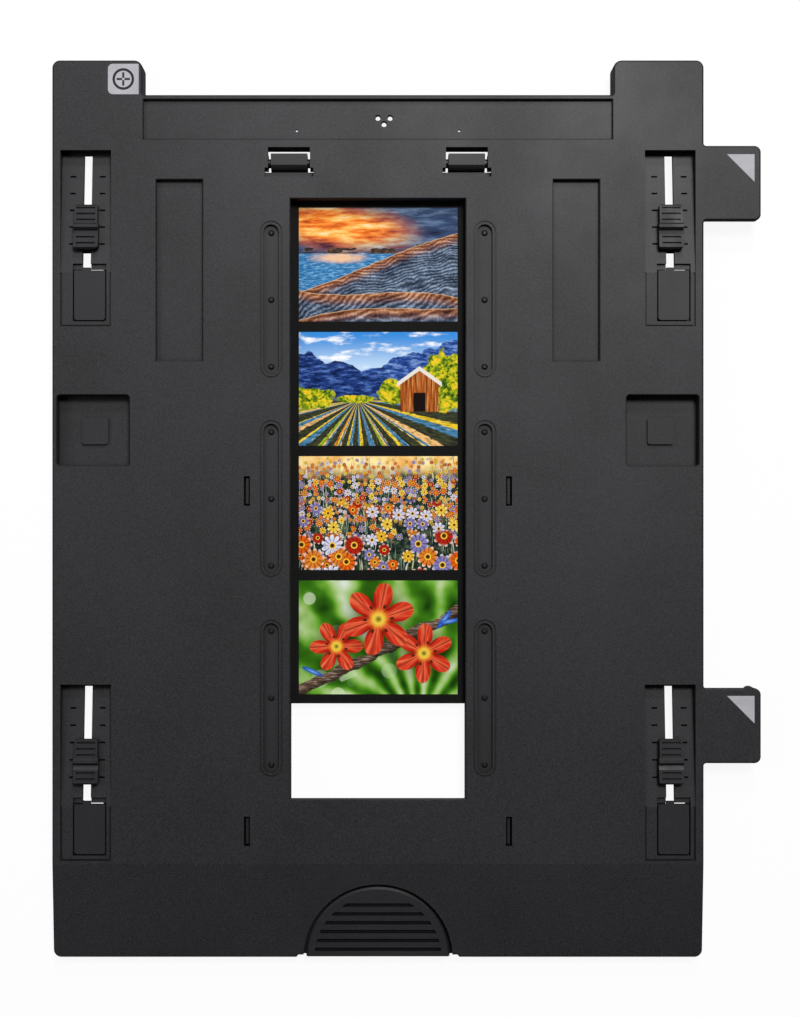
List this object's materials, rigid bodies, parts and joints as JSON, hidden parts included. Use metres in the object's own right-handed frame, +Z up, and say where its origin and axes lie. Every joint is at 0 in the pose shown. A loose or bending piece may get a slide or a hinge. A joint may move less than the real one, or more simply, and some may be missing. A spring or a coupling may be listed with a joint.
{
  "type": "film holder",
  "caption": "Flat film holder for a flatbed scanner: ribbed frame with a long window, hinged clamp cover, guide rails and sliding height adjusters, loaded with roll film.",
  "frame": {"origin": "bottom centre of the bounding box, on the plane of the feet at the default height setting", "axes": "+X to the index tabs, +Y to the horned end, +Z up away from the glass"},
  "size_m": [0.2446, 0.3102, 0.0097],
  "materials": {
    "frame_plastic": "fine-grained charcoal ABS",
    "cover_plastic": "fine-grained black ABS",
    "guide_plastic": "smooth black acetal",
    "slider_plastic": "smooth black acetal",
    "grip_plastic": "fine-grained charcoal ABS",
    "pin_steel": "blackened steel",
    "film": "processed colour film",
    "label": "light grey printed label"
  },
  "bodies": {
    "frame": {"main_frame": "frame_plastic", "film_strip": "film", "finger_grip": "grip_plastic", "label_pad": "label", "film_guide_front_left": "guide_plastic", "film_guide_middle_left": "guide_plastic", "film_guide_rear_left": "guide_plastic", "film_guide_front_right": "guide_plastic", "film_guide_middle_right": "guide_plastic", "film_guide_rear_right": "guide_plastic", "slot_plug_rear_left": "slider_plastic", "slot_plug_rear_right": "slider_plastic", "slot_plug_front_left": "slider_plastic", "slot_plug_front_right": "slider_plastic", "hinge_pin_left": "pin_steel", "hinge_pin_right": "pin_steel"},
    "cover": {"film_cover": "cover_plastic"},
    "slider_rear_left": {"height_slider_rear_left": "slider_plastic"},
    "slider_rear_right": {"height_slider_rear_right": "slider_plastic"},
    "slider_front_left": {"height_slider_front_left": "slider_plastic"},
    "slider_front_right": {"height_slider_front_right": "slider_plastic"}
  },
  "joints": [
    {"name": "cover_hinge", "type": "hinge", "parent": "frame", "child": "cover", "pos_m": [-0.00988, 0.12012, 0.0046], "axis": [1, 0, 0], "range_deg": [0, 100]},
    {"name": "slider_rear_left_travel", "type": "slide", "parent": "frame", "child": "slider_rear_left", "axis": [0, 0.9965, -0.0842], "range_m": [-0.00594, 0.01782]},
    {"name": "slider_rear_right_travel", "type": "slide", "parent": "frame", "child": "slider_rear_right", "axis": [0, 0.9965, -0.0842], "range_m": [-0.00594, 0.01782]},
    {"name": "slider_front_left_travel", "type": "slide", "parent": "frame", "child": "slider_front_left", "axis": [0, 0.9965, -0.0842], "range_m": [-0.00594, 0.01782]},
    {"name": "slider_front_right_travel", "type": "slide", "parent": "frame", "child": "slider_front_right", "axis": [0, 0.9965, -0.0842], "range_m": [-0.00594, 0.01782]}
  ]
}
